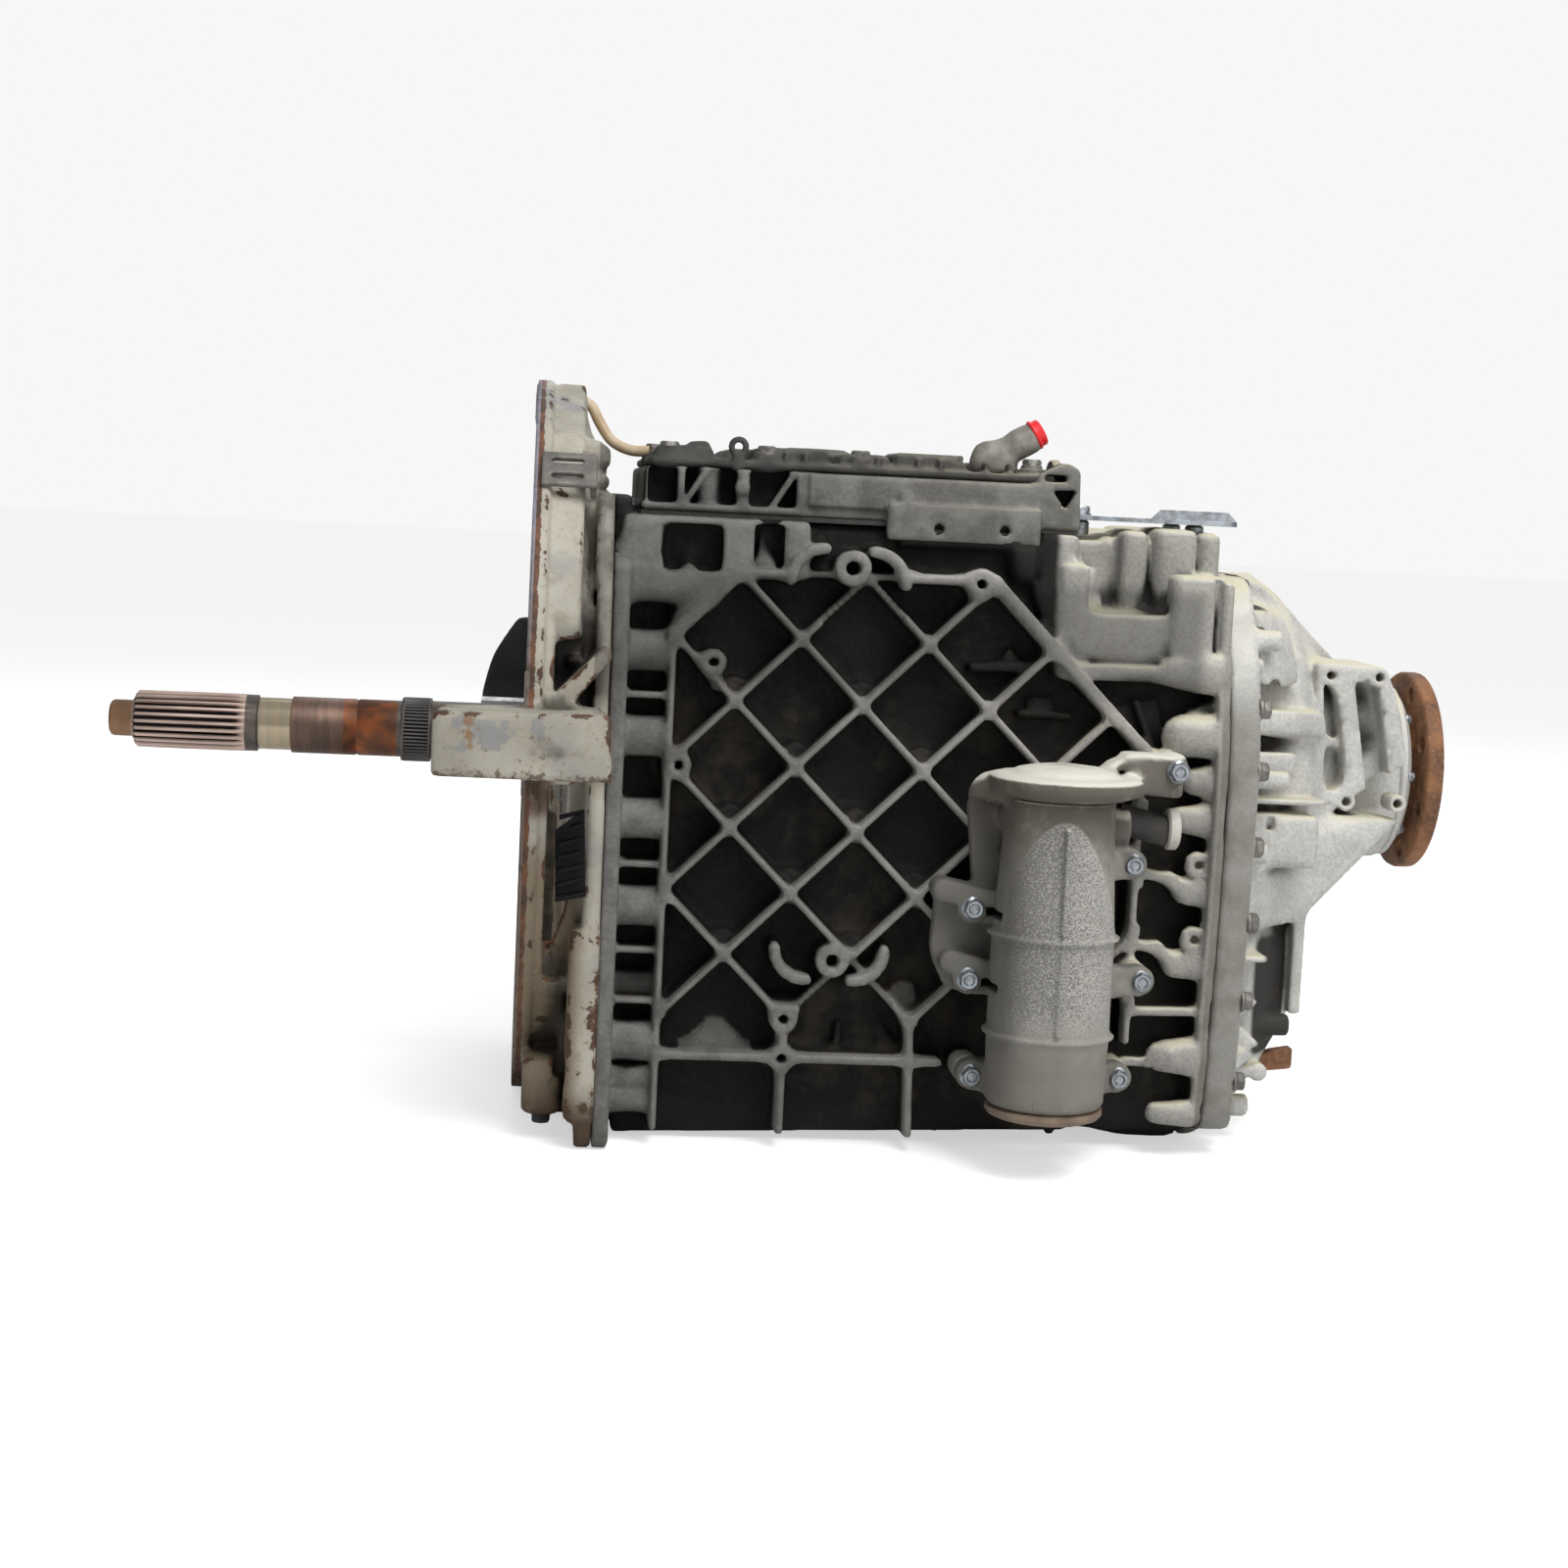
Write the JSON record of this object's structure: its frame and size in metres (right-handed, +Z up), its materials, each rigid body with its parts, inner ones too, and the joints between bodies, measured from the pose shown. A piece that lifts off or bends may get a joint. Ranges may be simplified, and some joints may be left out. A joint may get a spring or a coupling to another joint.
{
  "type": "manual transmission",
  "caption": "Heavy-truck manual transmission with splitter, countershaft gear train, planetary range section, clutch housing, ribbed main case, oil filter and drive flange.",
  "frame": {"origin": "centre of the bounding box, on the plane that the feet of the castings rest on", "axes": "+X along the input shaft from the clutch end to the drive flange, +Y from the oil filter side to the far side, +Z up"},
  "size_m": [1.182, 0.727, 0.63],
  "materials": {
    "painted_iron": "worn cream paint on cast iron, chipped to rust at the edges",
    "black_paint": "dull black paint",
    "zinc_steel": "dull zinc plate",
    "cast_aluminium": "as-cast aluminium with oily grime",
    "dusty_aluminium": "as-cast aluminium with dry dust",
    "rusty_steel": "bare steel with brown surface rust",
    "gasket_fibre": "compressed fibre gasket",
    "red_plastic": "red moulded plastic",
    "nylon": "tan nylon line",
    "brown_plastic": "brown moulded plastic",
    "rubber": "dusty black rubber",
    "gear_steel": "ground and hardened steel, oiled",
    "bearing_steel": "polished bearing steel",
    "bronze": "cast bronze"
  },
  "bodies": {
    "housing": {"clutch_housing": "painted_iron", "far_mount_bracket": "black_paint", "slotted_bracket": "zinc_steel", "inspection_cover": "black_paint", "main_housing": "cast_aluminium", "range_housing": "dusty_aluminium", "output_bearing_cover": "dusty_aluminium", "rear_lower_plate": "rusty_steel", "control_gasket": "gasket_fibre", "control_housing": "cast_aluminium", "control_cover": "cast_aluminium", "range_cylinder_cover": "cast_aluminium", "top_bracket_plate": "zinc_steel", "breather_elbow": "zinc_steel", "breather_cap": "red_plastic", "air_line": "nylon", "oil_filter_housing": "dusty_aluminium", "oil_filter_cap": "brown_plastic", "coolant_pipe": "rubber", "left_rail": "gear_steel", "right_rail": "gear_steel", "range_rail": "gear_steel", "idler_shaft": "gear_steel", "ring_gear": "gear_steel", "input_bearing": "bearing_steel", "counter_front_bearing": "bearing_steel", "counter_rear_bearing": "bearing_steel", "mainshaft_bearing": "bearing_steel", "output_bearing": "bearing_steel", "oil_pump": "cast_aluminium", "release_guide_tube": "gear_steel"},
    "input": {"input_shaft": "rusty_steel"},
    "splitter_gear": {"splitter_gear": "gear_steel"},
    "splitter_sleeve": {"splitter_sleeve": "gear_steel"},
    "countershaft": {"countershaft": "gear_steel"},
    "mainshaft": {"mainshaft": "gear_steel"},
    "third_gear": {"third_gear": "gear_steel"},
    "second_gear": {"second_gear": "gear_steel"},
    "first_gear": {"first_gear": "gear_steel"},
    "reverse_gear": {"reverse_gear": "gear_steel"},
    "reverse_idler": {"reverse_idler": "gear_steel"},
    "high_sleeve": {"high_sleeve": "gear_steel"},
    "low_sleeve": {"low_sleeve": "gear_steel"},
    "output": {"planet_carrier": "gear_steel", "output_flange": "rusty_steel", "flange_nut": "rusty_steel"},
    "planet_gear_1": {"planet_gear_1": "gear_steel"},
    "planet_gear_2": {"planet_gear_2": "gear_steel"},
    "planet_gear_3": {"planet_gear_3": "gear_steel"},
    "splitter_fork": {"splitter_fork": "bronze"},
    "high_fork": {"high_fork": "bronze"},
    "low_fork": {"low_fork": "bronze"},
    "range_shift": {"range_fork": "bronze", "range_sleeve": "gear_steel"},
    "release_lever": {"release_lever": "gear_steel"},
    "release_bearing": {"release_bearing": "bearing_steel"},
    "selector_shaft": {"selector_shaft": "gear_steel"},
    "selector_finger": {"selector_finger": "gear_steel"}
  },
  "joints": [
    {"name": "countershaft_spin", "type": "hinge", "parent": "housing", "child": "countershaft", "pos_m": [0, 0.0095, 0.166], "axis": [1, 0, 0], "continuous": true},
    {"name": "input_spin", "type": "hinge", "parent": "housing", "child": "input", "pos_m": [0, 0.0095, 0.316], "axis": [1, 0, 0], "continuous": true},
    {"name": "splitter_gear_spin", "type": "hinge", "parent": "housing", "child": "splitter_gear", "pos_m": [0, 0.0095, 0.316], "axis": [1, 0, 0], "continuous": true},
    {"name": "third_gear_spin", "type": "hinge", "parent": "housing", "child": "third_gear", "pos_m": [0, 0.0095, 0.316], "axis": [1, 0, 0], "continuous": true},
    {"name": "second_gear_spin", "type": "hinge", "parent": "housing", "child": "second_gear", "pos_m": [0, 0.0095, 0.316], "axis": [1, 0, 0], "continuous": true},
    {"name": "first_gear_spin", "type": "hinge", "parent": "housing", "child": "first_gear", "pos_m": [0, 0.0095, 0.316], "axis": [1, 0, 0], "continuous": true},
    {"name": "reverse_gear_spin", "type": "hinge", "parent": "housing", "child": "reverse_gear", "pos_m": [0, 0.0095, 0.316], "axis": [1, 0, 0], "continuous": true},
    {"name": "reverse_idler_spin", "type": "hinge", "parent": "housing", "child": "reverse_idler", "pos_m": [0, 0.08805, 0.20162], "axis": [1, 0, 0], "continuous": true},
    {"name": "output_spin", "type": "hinge", "parent": "housing", "child": "output", "pos_m": [0, 0.0095, 0.316], "axis": [1, 0, 0], "continuous": true},
    {"name": "mainshaft_spin", "type": "hinge", "parent": "housing", "child": "mainshaft", "pos_m": [0, 0.0095, 0.316], "axis": [1, 0, 0], "continuous": true},
    {"name": "planet_1_spin", "type": "hinge", "parent": "output", "child": "planet_gear_1", "pos_m": [0, 0.0905, 0.316], "axis": [1, 0, 0], "continuous": true},
    {"name": "planet_2_spin", "type": "hinge", "parent": "output", "child": "planet_gear_2", "pos_m": [0, -0.031, 0.38615], "axis": [1, 0, 0], "continuous": true},
    {"name": "planet_3_spin", "type": "hinge", "parent": "output", "child": "planet_gear_3", "pos_m": [0, -0.031, 0.24585], "axis": [1, 0, 0], "continuous": true},
    {"name": "splitter_fork_shift", "type": "slide", "parent": "housing", "child": "splitter_fork", "axis": [1, 0, 0], "range_m": [-0.006, 0.006]},
    {"name": "splitter_sleeve_shift", "type": "slide", "parent": "input", "child": "splitter_sleeve", "axis": [1, 0, 0], "range_m": [-0.006, 0.006]},
    {"name": "high_fork_shift", "type": "slide", "parent": "housing", "child": "high_fork", "axis": [1, 0, 0], "range_m": [-0.008, 0.008]},
    {"name": "high_sleeve_shift", "type": "slide", "parent": "mainshaft", "child": "high_sleeve", "axis": [1, 0, 0], "range_m": [-0.008, 0.008]},
    {"name": "low_fork_shift", "type": "slide", "parent": "housing", "child": "low_fork", "axis": [1, 0, 0], "range_m": [-0.008, 0.008]},
    {"name": "low_sleeve_shift", "type": "slide", "parent": "mainshaft", "child": "low_sleeve", "axis": [1, 0, 0], "range_m": [-0.008, 0.008]},
    {"name": "range_shift", "type": "slide", "parent": "housing", "child": "range_shift", "axis": [1, 0, 0], "range_m": [-0.0045, 0.0045]},
    {"name": "release_lever_swing", "type": "hinge", "parent": "housing", "child": "release_lever", "pos_m": [-0.204, 0.1995, 0.316], "axis": [0, 0, 1], "range_deg": [-5, 0]},
    {"name": "release_bearing_slide", "type": "slide", "parent": "housing", "child": "release_bearing", "axis": [1, 0, 0], "range_m": [-0.01205, 0]},
    {"name": "selector_turn", "type": "hinge", "parent": "housing", "child": "selector_shaft", "pos_m": [0.024, 0.0095, 0.54], "axis": [1, 0, 0], "range_deg": [-12, 12]},
    {"name": "selector_slide", "type": "slide", "parent": "selector_shaft", "child": "selector_finger", "axis": [1, 0, 0], "range_m": [-0.01, 0.01]}
  ],
  "couplings": [
    {"joint": "input_spin", "follows": "countershaft_spin", "ratio": -1.2222},
    {"joint": "splitter_gear_spin", "follows": "countershaft_spin", "ratio": -1.2222},
    {"joint": "third_gear_spin", "follows": "countershaft_spin", "ratio": -0.90476},
    {"joint": "second_gear_spin", "follows": "countershaft_spin", "ratio": -0.6},
    {"joint": "first_gear_spin", "follows": "countershaft_spin", "ratio": -0.42857},
    {"joint": "reverse_idler_spin", "follows": "countershaft_spin", "ratio": -0.91667},
    {"joint": "reverse_gear_spin", "follows": "countershaft_spin", "ratio": 0.44},
    {"joint": "mainshaft_spin", "follows": "output_spin", "ratio": 3.6},
    {"joint": "planet_1_spin", "follows": "output_spin", "ratio": -3.25},
    {"joint": "planet_2_spin", "follows": "output_spin", "ratio": -3.25},
    {"joint": "planet_3_spin", "follows": "output_spin", "ratio": -3.25},
    {"joint": "splitter_sleeve_shift", "follows": "splitter_fork_shift", "ratio": 1},
    {"joint": "high_sleeve_shift", "follows": "high_fork_shift", "ratio": 1},
    {"joint": "low_sleeve_shift", "follows": "low_fork_shift", "ratio": 1},
    {"joint": "release_bearing_slide", "follows": "release_lever_swing", "m_per_rad": 0.138}
  ]
}
